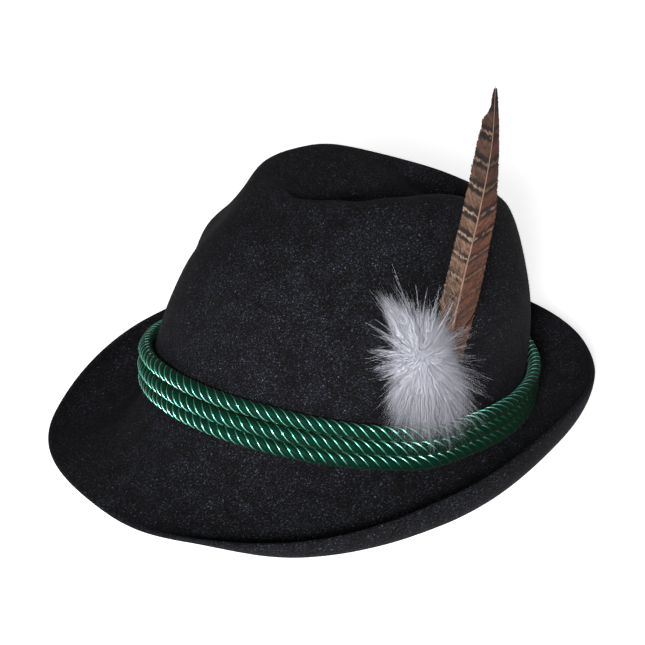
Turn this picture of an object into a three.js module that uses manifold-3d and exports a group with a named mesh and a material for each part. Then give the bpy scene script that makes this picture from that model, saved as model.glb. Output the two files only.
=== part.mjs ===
// A Tyrolean hat at its real size, in millimetres, +Z up.
// The hat's front looks towards -Y and the wearer's left is +X, so the feather stands on +X.
// The shapes are worked out with the foot of the crown level. A turned group then tips the hat back
// to the way it rests by itself: on two places under the front brim and one behind the crown.
import * as THREE from 'three';
import { mergeVertices } from 'three/addons/utils/BufferGeometryUtils.js';
import Module from 'manifold-3d';

// Felt body
const HEAD_LENGTH = 205.5;
const HEAD_WIDTH = 161;
const CROWN_HEIGHT = 119.5;
const BRIM_WIDTH = 61.2;
const FELT = 2.4;
const BREAK_ROUND = 5;
const PINCH_DEPTH = 9.7;
const PINCH_HEIGHT = 77;
const PINCH_SPREAD = 42;
const PINCH_ANGLE = 42;
const PINCH_ANGLE_SPREAD = 22;
const REST_SAG = 1.0;

// Cords
const CORD = 7.4;
const CORD_STEP = 7.8;
const GAP = 0.3;

// Feather
const FEATHER_RISE = 187;
const VANE_WIDTH = 21.5;
const VANE_THICK = 0.7;
const QUILL = 2.2;
const FEATHER_STAND = 7.5;
const FEATHER_OUT = HEAD_WIDTH / 2 + FEATHER_STAND;
const FEATHER_SIDE = 10;
const VANE_FACES = 75;

// Plume
const PLUME_RISE = 80;
const PLUME_WIDTH = 42;
const PLUME_THICK = 22;
const PLUME_FOOT = 21;
const PLUME_STAND = 17;
const PLUME_OUT = HEAD_WIDTH / 2 + PLUME_STAND;
const PLUME_FACES = 70;
const LOCK_LENGTH = 20;
const LOCK_THICK = 15;

// How finely the faces are cut
const FELT_SIDES = 64;
const CORD_SIDES = 8;
const CORD_STEPS = 60;
const LOCK_SIDES = 5;

// Crown: rings from the foot of the crown, over the ridge and down into the crease.
// Heights at the front, side and back are shares of CROWN_HEIGHT, half lengths to the front and
// back are shares of HEAD_LENGTH / 2, and the half width is a share of HEAD_WIDTH / 2.
const CROWN_RINGS = [
  { front: 0.109, side: 0.000, back: 0.008, ahead: 1.014, behind: 1.002, across: 1.000, square: 2.05 },
  { front: 0.285, side: 0.293, back: 0.268, ahead: 1.041, behind: 0.983, across: 1.037, square: 2.0 },
  { front: 0.594, side: 0.577, back: 0.536, ahead: 0.939, behind: 0.891, across: 1.050, square: 2.0 },
  { front: 0.795, side: 0.787, back: 0.795, ahead: 0.764, behind: 0.837, across: 0.826, square: 2.1 },
  { front: 0.891, side: 0.975, back: 0.866, ahead: 0.589, behind: 0.740, across: 0.665, square: 2.1 },
  { front: 0.958, side: 1.000, back: 0.787, ahead: 0.477, behind: 0.574, across: 0.466, square: 2.1 },
  { front: 0.915, side: 0.904, back: 0.787, ahead: 0.410, behind: 0.500, across: 0.174, square: 2.0 },
  { front: 0.862, side: 0.837, back: 0.736, ahead: 0.345, behind: 0.430, across: 0.000, square: 2.0 },
];
const CREASE = CROWN_RINGS.length - 1;

// Brim, from the front (0 degrees) round to the back (180), the same on both sides: its width as a
// share of BRIM_WIDTH, its slope in degrees where it leaves the crown and at its edge, and how late
// the turn between them comes.
const BRIM_ROWS = [
  { at: 0, width: 0.975, slope: -49, edge: -22, late: 1.8 },
  { at: 40, width: 1.080, slope: -59, edge: 78, late: 2.7 },
  { at: 75, width: 0.958, slope: -40, edge: 117, late: 2.2 },
  { at: 110, width: 0.800, slope: -12, edge: 110, late: 1.7 },
  { at: 145, width: 0.724, slope: 8, edge: 91, late: 1.9 },
  { at: 180, width: 0.704, slope: 23, edge: 63, late: 1.7 },
];

// Where the rings of faces lie on the outside and on the inside: ring numbers down the crown,
// then shares of the brim's width.
const OUTER_CROWN = [7, 6.5, 6, 5.6, 5.25, 4.9, 4.5, 4.1, 3.7, 3.3, 2.8, 2.2, 1.5, 0.8];
const INNER_CROWN = [7, 6.3, 5.7, 5.25, 4.8, 4.3, 3.8, 3.2, 2.5, 1.6, 0.8];
const BREAK_STEPS = [0, 0.33, 0.67, 1];
const BRIM_STEPS = [0.2, 0.32, 0.44, 0.56, 0.66, 0.76, 0.84, 0.92, 1];

const rad = THREE.MathUtils.degToRad;
const vec = (x, y, z) => new THREE.Vector3(x, y, z);

// One column of the brim table at an angle, by a smooth curve through the rows.
function brimValue(key, degrees) {
  const turned = Math.abs(((degrees % 360) + 540) % 360 - 180);
  const at = BRIM_ROWS.map((row) => row.at);
  const value = BRIM_ROWS.map((row) => row[key]);
  const last = at.length - 1;
  const atAll = [-at[1], ...at, 360 - at[last - 1]];
  const valueAll = [value[1], ...value, value[last - 1]];
  let i = 1;
  while (i < last && turned >= atAll[i + 1]) i += 1;
  const step = atAll[i + 1] - atAll[i];
  const f = (turned - atAll[i]) / step;
  const m1 = (valueAll[i + 1] - valueAll[i - 1]) / (atAll[i + 1] - atAll[i - 1]) * step;
  const m2 = (valueAll[i + 2] - valueAll[i]) / (atAll[i + 2] - atAll[i]) * step;
  const f2 = f * f;
  const f3 = f2 * f;
  return (2 * f3 - 3 * f2 + 1) * valueAll[i] + (f3 - 2 * f2 + f) * m1
    + (3 * f2 - 2 * f3) * valueAll[i + 1] + (f3 - f2) * m2;
}

// A point of one crown ring. Below the table's end the rings go on mirrored, so that the crease
// has a round bottom.
function ringPoint(index, degrees) {
  const mirrored = index > CREASE;
  const row = CROWN_RINGS[mirrored ? 2 * CREASE - index : Math.max(index, 0)];
  const c = Math.cos(rad(degrees));
  const s = Math.sin(rad(degrees));
  const sum = Math.pow(Math.abs(c), row.square) + Math.pow(Math.abs(s), row.square);
  const reach = Math.pow(sum, 1 / row.square);
  const end = c > 0 ? row.front : row.back;
  const half = (c > 0 ? row.ahead : row.behind) * HEAD_LENGTH / 2;
  const x = row.across * HEAD_WIDTH / 2 * s / reach;
  const z = (row.side * (1 - c * c) + end * c * c) * CROWN_HEIGHT;
  return vec(mirrored ? -x : x, -half * c / reach, z);
}

// The outside of the crown: ring numbers run from 0 at its foot to CREASE in the crease.
function crownPoint(ring, degrees) {
  const i = Math.min(Math.floor(ring), CREASE - 1);
  const f = ring - i;
  const b = ringPoint(i, degrees);
  const c = ringPoint(i + 1, degrees);
  const a = i > 0 ? ringPoint(i - 1, degrees) : b.clone().multiplyScalar(2).sub(c);
  const d = ringPoint(i + 2, degrees);
  const point = vec(0, 0, 0);
  for (const axis of ['x', 'y', 'z']) {
    point[axis] = 0.5 * (2 * b[axis] + (c[axis] - a[axis]) * f
      + (2 * a[axis] - 5 * b[axis] + 4 * c[axis] - d[axis]) * f * f
      + (3 * b[axis] - a[axis] - 3 * c[axis] + d[axis]) * f * f * f);
  }
  // The two finger pinches press the crown in at the front, and fade out towards the crease.
  const fade = THREE.MathUtils.smoothstep(CREASE - ring, 0, 2);
  const height = Math.exp(-Math.pow((point.z - PINCH_HEIGHT) / PINCH_SPREAD, 2));
  for (const side of [1, -1]) {
    const off = ((degrees - side * PINCH_ANGLE) % 360 + 540) % 360 - 180;
    const press = PINCH_DEPTH * fade * height * Math.exp(-Math.pow(off / PINCH_ANGLE_SPREAD, 2));
    point.x -= press * Math.sin(rad(side * PINCH_ANGLE));
    point.y += press * Math.cos(rad(side * PINCH_ANGLE));
  }
  return point;
}

// The top of the brim: it starts at the foot of the crown and grows outward along the oval's normal.
function brimPoint(share, degrees) {
  const c = Math.cos(rad(degrees));
  const s = Math.sin(rad(degrees));
  const out = new THREE.Vector2(s / HEAD_WIDTH, -c / HEAD_LENGTH).normalize();
  const width = brimValue('width', degrees) * BRIM_WIDTH;
  const slope = brimValue('slope', degrees);
  const edge = brimValue('edge', degrees);
  const late = brimValue('late', degrees);
  const point = crownPoint(0, degrees);
  const parts = 24;
  for (let k = 0; k < parts; k += 1) {
    const middle = share * (k + 0.5) / parts;
    const angle = rad(slope + (edge - slope) * Math.pow(middle, late));
    const step = share * width / parts;
    point.x += out.x * Math.cos(angle) * step;
    point.y += out.y * Math.cos(angle) * step;
    point.z += Math.sin(angle) * step;
  }
  return point;
}

// The ring number that lies a given height up the crown wall.
function ringAtHeight(height, degrees) {
  const foot = crownPoint(0, degrees).z;
  let low = 0;
  let high = 4;
  for (let k = 0; k < 30; k += 1) {
    const middle = (low + high) / 2;
    if (crownPoint(middle, degrees).z - foot < height) low = middle;
    else high = middle;
  }
  return (low + high) / 2;
}

// The whole outside in one run: v from -CREASE in the crease, over -1 where the rounded break starts,
// 0 to 1 round the break, and 1 to 2 along the brim.
function feltPoint(v, degrees) {
  const start = ringAtHeight(BREAK_ROUND, degrees);
  const first = BREAK_ROUND / BRIM_WIDTH;
  if (v < 0) return crownPoint(Math.max(-v, start), degrees);
  if (v > 1) return brimPoint(first + (v - 1) * (1 - first), degrees);
  const a = crownPoint(start, degrees).multiplyScalar((1 - v) * (1 - v));
  const b = crownPoint(0, degrees).multiplyScalar(2 * v * (1 - v));
  const c = brimPoint(first, degrees).multiplyScalar(v * v);
  return a.add(b).add(c);
}

// The outward direction of the felt at a place, from its slopes round the hat and down it.
function feltNormal(v, degrees) {
  const turn = 0.5;
  const low = v <= -CREASE + 0.02 ? -CREASE + 0.002 : v - 0.01;
  const high = v <= -CREASE + 0.02 ? -CREASE + 0.04 : Math.min(v + 0.01, 2);
  const round = feltPoint(v, degrees + turn).sub(feltPoint(v, degrees - turn));
  const down = feltPoint(high, degrees).sub(feltPoint(low, degrees));
  const normal = down.cross(round).normalize();
  if (v <= -CREASE + 0.02) {
    normal.set(0, normal.y, Math.abs(normal.z)).normalize();
  }
  return normal;
}

// A closed body from points and triangles, each point written once.
function solidGeometry(points, faces) {
  const geometry = new THREE.BufferGeometry();
  const flat = points.flatMap((p) => [p.x, p.y, p.z]);
  geometry.setAttribute('position', new THREE.Float32BufferAttribute(flat, 3));
  geometry.setIndex(faces.flat());
  const merged = mergeVertices(geometry, 1e-4);
  const index = Array.from(merged.index.array);
  const kept = [];
  for (let k = 0; k < index.length; k += 3) {
    const [a, b, c] = index.slice(k, k + 3);
    if (a !== b && b !== c && c !== a) kept.push(a, b, c);
  }
  merged.setIndex(kept);
  return merged;
}

// Two triangles for each cell of a grid whose columns close on themselves.
function ringFaces(rings, sides, closed) {
  const faces = [];
  const last = closed ? rings : rings - 1;
  for (let r = 0; r < last; r += 1) {
    for (let k = 0; k < sides; k += 1) {
      const a = r * sides + k;
      const b = r * sides + (k + 1) % sides;
      const c = ((r + 1) % rings) * sides + (k + 1) % sides;
      const d = ((r + 1) % rings) * sides + k;
      faces.push([a, c, b], [a, d, c]);
    }
  }
  return faces;
}

// Felt body: down the outside from the crease to the brim's edge, and back along the inside.
function feltRings() {
  const crown = (list) => list.map((ring) => -ring);
  const rest = [...BREAK_STEPS, ...BRIM_STEPS.map((share) => 1 + share)];
  const outside = [...crown(OUTER_CROWN), ...rest].map((v) => ({ v, inside: false }));
  const inside = [...crown(INNER_CROWN), ...rest].map((v) => ({ v, inside: true })).reverse();
  return [...outside, ...inside];
}

function feltPoints() {
  const points = [];
  for (const ring of feltRings()) {
    for (let k = 0; k < FELT_SIDES; k += 1) {
      const turned = 360 * k / FELT_SIDES;
      // The crease closes on itself, so its two sides take the same points.
      const degrees = ring.v === -CREASE ? Math.min(turned, 360 - turned) : turned;
      const point = feltPoint(ring.v, degrees);
      if (ring.inside) point.addScaledVector(feltNormal(ring.v, degrees), -FELT);
      if (ring.v === -CREASE) point.x = 0;
      points.push(point);
    }
  }
  return points;
}

// The angle at which the hat lies still: the lowest places ahead and behind are then level.
function restAngle(points) {
  const lowest = (angle, sign) => {
    let low = Infinity;
    for (const p of points) {
      if (p.y * sign > 0) low = Math.min(low, p.z * Math.cos(angle) - p.y * Math.sin(angle));
    }
    return low;
  };
  let small = 0;
  let large = rad(20);
  for (let k = 0; k < 40; k += 1) {
    const middle = (small + large) / 2;
    if (lowest(middle, -1) < lowest(middle, 1)) small = middle;
    else large = middle;
  }
  return { angle: (small + large) / 2, low: lowest((small + large) / 2, 1) };
}

// Cords: rings that lie against the crown wall, the lowest one on the brim's break.
// They bulge a little where the feather's quill is tucked behind them.
function cordHeight(index, degrees) {
  const radius = CORD / 2 + GAP;
  const seat = radius * Math.tan(rad(45 + brimValue('slope', degrees) / 2)) + 0.6;
  return Math.max(radius, seat) + index * CORD_STEP;
}

function quillBulge(degrees) {
  const side = FEATHER_SIDE * FEATHER_LINE[0].side;
  const quillAt = 90 - THREE.MathUtils.radToDeg(Math.asin(side / (HEAD_LENGTH / 2)));
  const off = ((degrees - quillAt) % 360 + 540) % 360 - 180;
  return (QUILL + 2 * GAP) * Math.exp(-Math.pow(off / 11, 2));
}

function cordSection(index, degrees, grow) {
  const ring = ringAtHeight(cordHeight(index, degrees), degrees);
  const wall = crownPoint(ring, degrees);
  const round = crownPoint(ring, degrees + 1).sub(crownPoint(ring, degrees - 1)).normalize();
  const up = crownPoint(ring + 0.05, degrees).sub(crownPoint(ring - 0.05, degrees)).normalize();
  const out = round.clone().cross(up).normalize();
  const rise = out.clone().cross(round).normalize();
  const centre = wall.addScaledVector(out, CORD / 2 + GAP + quillBulge(degrees));
  const points = [];
  for (let k = 0; k < CORD_SIDES; k += 1) {
    const angle = 2 * Math.PI * k / CORD_SIDES;
    const p = centre.clone();
    p.addScaledVector(out, Math.cos(angle) * (CORD / 2 + grow));
    p.addScaledVector(rise, Math.sin(angle) * (CORD / 2 + grow));
    points.push(p);
  }
  return points;
}

function cordGeometry(index, grow = 0) {
  const points = [];
  for (let k = 0; k < CORD_STEPS; k += 1) {
    points.push(...cordSection(index, 360 * k / CORD_STEPS, grow));
  }
  return solidGeometry(points, ringFaces(CORD_STEPS, CORD_SIDES, true));
}

// Feather: the quill stands behind the cords, and the barbed vane rises past the crown.
// up is a share of FEATHER_RISE, out of FEATHER_OUT and side of FEATHER_SIDE towards the front.
const FEATHER_LINE = [
  { up: 0.020, out: 0.919, side: 1.90 },
  { up: 0.130, out: 0.948, side: 1.92 },
  { up: 0.200, out: 0.968, side: 1.93 },
  { up: 0.320, out: 0.995, side: 1.78 },
  { up: 0.510, out: 1.002, side: 1.42 },
  { up: 0.680, out: 0.999, side: 0.93 },
  { up: 0.850, out: 0.990, side: 0.62 },
  { up: 1.000, out: 0.980, side: 0.80 },
];
// The vane's reach to the front and back of the shaft, as shares of VANE_WIDTH along the feather.
const VANE_ROWS = [
  { along: 0.00, front: 0.00, back: 0.00 },
  { along: 0.17, front: 0.00, back: 0.00 },
  { along: 0.22, front: 0.20, back: 0.18 },
  { along: 0.30, front: 0.38, back: 0.34 },
  { along: 0.42, front: 0.50, back: 0.42 },
  { along: 0.55, front: 0.52, back: 0.42 },
  { along: 0.68, front: 0.46, back: 0.36 },
  { along: 0.80, front: 0.36, back: 0.26 },
  { along: 0.90, front: 0.20, back: 0.15 },
  { along: 0.96, front: 0.07, back: 0.05 },
  { along: 1.00, front: 0.015, back: 0.015 },
];

function rowValue(rows, key, along) {
  let i = 0;
  while (i < rows.length - 2 && along > rows[i + 1].along) i += 1;
  const f = (along - rows[i].along) / (rows[i + 1].along - rows[i].along);
  return THREE.MathUtils.lerp(rows[i][key], rows[i + 1][key], f);
}

const featherCurve = new THREE.CatmullRomCurve3(FEATHER_LINE.map(
  (row) => vec(row.out * FEATHER_OUT, -row.side * FEATHER_SIDE, row.up * FEATHER_RISE)));

function featherGeometry(grow = 0) {
  const across = vec(Math.cos(rad(VANE_FACES)), Math.sin(rad(VANE_FACES)), 0);
  const steps = 26;
  const points = [];
  for (let k = 0; k <= steps; k += 1) {
    const along = k / steps;
    const centre = featherCurve.getPointAt(along);
    const tangent = featherCurve.getTangentAt(along);
    const face = across.clone().cross(tangent).normalize();
    const wide = tangent.clone().cross(face).normalize();
    const shaft = QUILL / 2 * (1 - 0.75 * along) + grow;
    const edge = VANE_THICK / 2 + grow;
    const front = Math.max(rowValue(VANE_ROWS, 'front', along) * VANE_WIDTH + grow, shaft);
    const back = Math.max(rowValue(VANE_ROWS, 'back', along) * VANE_WIDTH + grow, shaft);
    const rim = Math.min(edge, shaft * 0.7);
    const section = [
      [-front, -rim * 0.5], [-front * 0.5, -Math.min(edge, shaft)], [0, -shaft],
      [back * 0.5, -Math.min(edge, shaft)], [back, -rim * 0.5],
      [back, rim * 0.5], [back * 0.5, Math.min(edge, shaft)], [0, shaft],
      [-front * 0.5, Math.min(edge, shaft)], [-front, rim * 0.5],
    ];
    for (const [w, h] of section) {
      points.push(centre.clone().addScaledVector(wide, w).addScaledVector(face, h));
    }
  }
  const sides = 10;
  const faces = ringFaces(steps + 1, sides, false);
  const low = points.push(featherCurve.getPointAt(0)) - 1;
  const high = points.push(featherCurve.getPointAt(1)) - 1;
  for (let k = 0; k < sides; k += 1) {
    const next = (k + 1) % sides;
    faces.push([low, k, next]);
    faces.push([high, steps * sides + next, steps * sides + k]);
  }
  return solidGeometry(points, faces);
}

// Plume: a soft core with tapering locks fused to it. up is a share of PLUME_RISE above PLUME_FOOT,
// lean a share of PLUME_WIDTH towards the front, wide and thick shares of half the core's sizes.
const PLUME_CORE = [
  { up: 0.00, lean: -0.10, wide: 0.45, thick: 0.50 },
  { up: 0.12, lean: -0.09, wide: 0.82, thick: 0.80 },
  { up: 0.32, lean: -0.03, wide: 1.00, thick: 1.00 },
  { up: 0.55, lean: 0.06, wide: 0.98, thick: 1.00 },
  { up: 0.75, lean: 0.20, wide: 0.85, thick: 0.85 },
  { up: 0.92, lean: 0.36, wide: 0.50, thick: 0.55 },
];
// Locks: where each leaves the core (up, and degrees round it from the face to the front), how far
// it reaches as a share of LOCK_LENGTH, and how far its tip lifts as a share of its reach.
const PLUME_LOCKS = [
  { up: 0.05, turn: 60, reach: 0.70, lift: -0.9 },
  { up: 0.03, turn: 0, reach: 0.62, lift: -1.2 },
  { up: 0.05, turn: -60, reach: 0.72, lift: -0.8 },
  { up: 0.22, turn: 88, reach: 0.80, lift: 0.1 },
  { up: 0.24, turn: -88, reach: 0.85, lift: 0.1 },
  { up: 0.30, turn: 30, reach: 0.55, lift: 0.2 },
  { up: 0.34, turn: -35, reach: 0.60, lift: 0.4 },
  { up: 0.42, turn: 92, reach: 0.90, lift: 0.4 },
  { up: 0.46, turn: -92, reach: 0.95, lift: 0.5 },
  { up: 0.58, turn: 55, reach: 0.70, lift: 0.7 },
  { up: 0.60, turn: -55, reach: 0.75, lift: 0.8 },
  { up: 0.64, turn: 95, reach: 0.95, lift: 0.5 },
  { up: 0.72, turn: 0, reach: 0.55, lift: 0.8 },
  { up: 0.80, turn: 80, reach: 1.00, lift: 0.5 },
  { up: 0.80, turn: -80, reach: 0.75, lift: 0.9 },
  { up: 0.88, turn: 40, reach: 0.70, lift: 0.9 },
];

const plumeOut = vec(Math.sin(rad(PLUME_FACES)), -Math.cos(rad(PLUME_FACES)), 0);
const plumeFront = vec(-Math.cos(rad(PLUME_FACES)), -Math.sin(rad(PLUME_FACES)), 0);

function plumeMiddle(up) {
  const rows = PLUME_CORE.map((row) => ({ ...row, along: row.up }));
  const lean = rowValue(rows, 'lean', up) * PLUME_WIDTH;
  const middle = plumeOut.clone().multiplyScalar(PLUME_OUT);
  middle.addScaledVector(plumeFront, lean);
  middle.z = PLUME_FOOT + up * PLUME_RISE;
  return middle;
}

function plumeCoreGeometry() {
  const sides = 12;
  const points = [];
  for (const row of PLUME_CORE) {
    const middle = plumeMiddle(row.up);
    for (let k = 0; k < sides; k += 1) {
      const angle = 2 * Math.PI * k / sides;
      const p = middle.clone();
      p.addScaledVector(plumeOut, Math.cos(angle) * row.thick * PLUME_THICK / 2);
      p.addScaledVector(plumeFront, -Math.sin(angle) * row.wide * PLUME_WIDTH / 2);
      points.push(p);
    }
  }
  const rings = PLUME_CORE.length;
  const faces = ringFaces(rings, sides, false);
  const low = points.push(plumeMiddle(-0.06)) - 1;
  const high = points.push(plumeMiddle(1.0)) - 1;
  for (let k = 0; k < sides; k += 1) {
    const next = (k + 1) % sides;
    faces.push([low, k, next]);
    faces.push([high, (rings - 1) * sides + next, (rings - 1) * sides + k]);
  }
  return solidGeometry(points, faces);
}

function lockGeometry(lock) {
  const middle = plumeMiddle(lock.up);
  const away = plumeOut.clone().multiplyScalar(Math.cos(rad(lock.turn)));
  away.addScaledVector(plumeFront, Math.sin(rad(lock.turn)));
  const rows = PLUME_CORE.map((row) => ({ ...row, along: row.up }));
  const wide = rowValue(rows, 'wide', lock.up) * PLUME_WIDTH / 2;
  const thick = rowValue(rows, 'thick', lock.up) * PLUME_THICK / 2;
  const start = Math.hypot(Math.sin(rad(lock.turn)) * wide, Math.cos(rad(lock.turn)) * thick) * 0.55;
  const reach = lock.reach * LOCK_LENGTH;
  const steps = 3;
  const points = [];
  for (let k = 0; k < steps; k += 1) {
    const f = k / steps;
    const centre = middle.clone().addScaledVector(away, start + f * reach);
    centre.z += lock.lift * reach * f * f;
    const side = away.clone().cross(vec(0, 0, 1)).normalize();
    const rise = side.clone().cross(away).normalize();
    const radius = LOCK_THICK / 2 * (1 - 0.72 * f);
    for (let j = 0; j < LOCK_SIDES; j += 1) {
      const angle = 2 * Math.PI * j / LOCK_SIDES;
      const p = centre.clone().addScaledVector(side, Math.cos(angle) * radius);
      points.push(p.addScaledVector(rise, Math.sin(angle) * radius));
    }
  }
  const faces = ringFaces(steps, LOCK_SIDES, false);
  const low = points.push(middle.clone().addScaledVector(away, start - 1)) - 1;
  const tip = middle.clone().addScaledVector(away, start + reach);
  tip.z += lock.lift * reach;
  const high = points.push(tip) - 1;
  for (let j = 0; j < LOCK_SIDES; j += 1) {
    const next = (j + 1) % LOCK_SIDES;
    faces.push([low, j, next]);
    faces.push([high, (steps - 1) * LOCK_SIDES + next, (steps - 1) * LOCK_SIDES + j]);
  }
  return solidGeometry(points, faces);
}

// The crown wall with a small margin, as a plain closed body that the plume lies against.
function wallGeometry(margin) {
  const levels = [0.3, 0.8, 1.3, 1.8, 2.3, 2.7, 3.1, 3.5];
  const points = [];
  for (const ring of levels) {
    for (let k = 0; k < FELT_SIDES; k += 1) {
      const degrees = 360 * k / FELT_SIDES;
      points.push(crownPoint(ring, degrees).addScaledVector(feltNormal(-ring, degrees), margin));
    }
  }
  const faces = ringFaces(levels.length, FELT_SIDES, false).map(([a, b, c]) => [a, c, b]);
  const low = points.push(vec(0, 0, crownPoint(levels[0], 90).z)) - 1;
  const high = points.push(vec(0, 0, crownPoint(3.5, 90).z)) - 1;
  const top = (levels.length - 1) * FELT_SIDES;
  for (let k = 0; k < FELT_SIDES; k += 1) {
    const next = (k + 1) % FELT_SIDES;
    faces.push([low, next, k]);
    faces.push([high, top + k, top + next]);
  }
  return solidGeometry(points, faces);
}

const wasm = await Module();
wasm.setup();

// A closed geometry as a solid that can be joined or cut. Its faces are turned outward if needed.
function toSolid(geometry) {
  const index = Array.from(geometry.index.array);
  const position = geometry.attributes.position;
  let volume = 0;
  const at = (k) => vec(position.getX(k), position.getY(k), position.getZ(k));
  for (let k = 0; k < index.length; k += 3) {
    volume += at(index[k]).dot(at(index[k + 1]).cross(at(index[k + 2])));
  }
  if (volume < 0) {
    for (let k = 0; k < index.length; k += 3) {
      [index[k + 1], index[k + 2]] = [index[k + 2], index[k + 1]];
    }
  }
  const vertProperties = new Float32Array(position.array);
  const mesh = new wasm.Mesh({ numProp: 3, vertProperties, triVerts: new Uint32Array(index) });
  return new wasm.Manifold(mesh);
}

function fromSolid(solid) {
  const mesh = solid.getMesh();
  const geometry = new THREE.BufferGeometry();
  geometry.setAttribute('position', new THREE.Float32BufferAttribute(mesh.vertProperties, 3));
  geometry.setIndex(Array.from(mesh.triVerts));
  return geometry;
}

function plumeGeometry() {
  let plume = toSolid(plumeCoreGeometry());
  for (const lock of PLUME_LOCKS) plume = plume.add(toSolid(lockGeometry(lock)));
  plume = plume.subtract(toSolid(wallGeometry(GAP + 0.2)));
  for (const index of [0, 1, 2]) plume = plume.subtract(toSolid(cordGeometry(index, GAP)));
  plume = plume.subtract(toSolid(featherGeometry(GAP)));
  const pieces = plume.decompose().sort((a, b) => b.volume() - a.volume());
  return fromSolid(pieces[0]);
}

// The felt is laid down at its rest: it is tipped back, and gives a little where it touches, so
// that the places it rests on are flat.
function feltGeometry(points, rest) {
  const turn = new THREE.Matrix4().makeRotationX(-rest.angle);
  const back = turn.clone().invert();
  const floor = rest.low + REST_SAG;
  const laid = points.map((p) => {
    const q = p.clone().applyMatrix4(turn);
    q.z = Math.max(q.z, floor);
    return q.applyMatrix4(back);
  });
  return solidGeometry(laid, ringFaces(feltRings().length, FELT_SIDES, false));
}

// One named piece with its colour. Its faces are turned outward on the way through a solid.
function addMesh(group, name, geometry, color, roughness) {
  const solid = fromSolid(toSolid(geometry));
  solid.computeVertexNormals();
  const material = new THREE.MeshStandardMaterial({ color, roughness, metalness: 0 });
  const mesh = new THREE.Mesh(solid, material);
  mesh.name = name;
  group.add(mesh);
}

const points = feltPoints();
const rest = restAngle(points);
const tipped = new THREE.Group();
tipped.rotation.x = -rest.angle;
tipped.position.z = -rest.low - REST_SAG;

addMesh(tipped, 'felt_body', feltGeometry(points, rest), 0x1b1b1e, 0.95);
addMesh(tipped, 'cord_lower', cordGeometry(0), 0x1d6b55, 0.6);
addMesh(tipped, 'cord_middle', cordGeometry(1), 0x1d6b55, 0.6);
addMesh(tipped, 'cord_upper', cordGeometry(2), 0x1d6b55, 0.6);
addMesh(tipped, 'tail_feather', featherGeometry(), 0x9a7358, 0.7);
addMesh(tipped, 'down_plume', plumeGeometry(), 0xe6e6ea, 0.9);

// The origin is at the bottom centre of the whole hat's box.
const hat = new THREE.Group();
hat.add(tipped);
hat.updateMatrixWorld(true);
const box = new THREE.Box3().setFromObject(hat, true);
tipped.position.x -= (box.min.x + box.max.x) / 2;
tipped.position.y -= (box.min.y + box.max.y) / 2;
hat.updateMatrixWorld(true);

export default hat;
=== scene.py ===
# %% [markdown]
# A Tyrolean hat, dressed for a photograph.
# The real hat is blocked from one piece of black wool felt. Three turns of shiny green twisted cord
# run round its crown, and a pheasant tail feather stands behind them with a white plume at its foot.
# The solid model already has every size and place. This script lays the fine surfaces over it: it
# could thicken the solids with modifiers, but fibres, plies and barbs have to be made one by one, so
# each piece is worked out again from the same named sizes and then takes its solid's place.

import bpy
import numpy as np
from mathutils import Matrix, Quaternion, Vector


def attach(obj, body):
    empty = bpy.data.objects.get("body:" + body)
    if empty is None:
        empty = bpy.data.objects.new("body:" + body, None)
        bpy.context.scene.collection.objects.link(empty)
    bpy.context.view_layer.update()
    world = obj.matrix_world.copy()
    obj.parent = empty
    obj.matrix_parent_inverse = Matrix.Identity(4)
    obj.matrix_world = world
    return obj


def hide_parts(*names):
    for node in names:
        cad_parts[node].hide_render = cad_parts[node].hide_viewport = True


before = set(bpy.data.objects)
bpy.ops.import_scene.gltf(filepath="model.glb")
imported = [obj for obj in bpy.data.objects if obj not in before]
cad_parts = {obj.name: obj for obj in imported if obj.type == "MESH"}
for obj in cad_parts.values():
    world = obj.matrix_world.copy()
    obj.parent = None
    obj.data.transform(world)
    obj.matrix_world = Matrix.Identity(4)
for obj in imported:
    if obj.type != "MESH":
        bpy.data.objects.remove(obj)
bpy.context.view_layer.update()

# %% [markdown]
# Sizes come first, all in millimetres, so that every later cell can be read on its own.
# They are the hat's own: how long and wide the head oval is, how high the crown and how wide the
# brim, how thick the felt and cords are. Blender works in metres, so points are divided by 1000 at
# the very end, when they become a mesh.

# %% Sizes in millimetres
HEAD_LENGTH = 205.5
HEAD_WIDTH = 161
CROWN_HEIGHT = 119.5
BRIM_WIDTH = 61.2
FELT = 2.4
BREAK_ROUND = 5
PINCH_DEPTH, PINCH_HEIGHT, PINCH_SPREAD = 9.7, 77, 42
PINCH_ANGLE, PINCH_ANGLE_SPREAD = 42, 22
REST_TILT = 7.52
REST_SAG = 1.0
CORD, CORD_STEP, GAP = 7.4, 7.8, 0.3
FEATHER_RISE, FEATHER_OUT, FEATHER_SIDE = 187, 88, 10
VANE_WIDTH, VANE_FACES, QUILL, QUILL_SIDE = 21.5, 75, 2.2, 19
PLUME_FOOT, PLUME_OUT, PLUME_FACES = 21, 97.5, 70


def table(names, *rows):
    """Rows of numbers as one array for each named column."""
    columns = np.array(rows, float).T
    return dict(zip(names.split(), columns))


def smooth(a, b, c, d, f):
    """A smooth curve through four points, a share f of the way from the second to the third."""
    return 0.5 * (2 * b + (c - a) * f + (2 * a - 5 * b + 4 * c - d) * f**2
                  + (3 * b - a - 3 * c + d) * f**3)


print("head oval in mm:", HEAD_LENGTH, "x", HEAD_WIDTH, "felt", FELT, "cord", CORD)

# %% [markdown]
# The crown is a stack of ovals, from its foot over the ridge and down into the crease.
# A lathe could not make it, because front, side and back stand at different heights. So each oval
# has its own row: heights as shares of the crown, half lengths and half width as shares of the head
# oval, and how square it is. A smooth curve through the rows gives the felt its soft shoulders.

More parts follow.
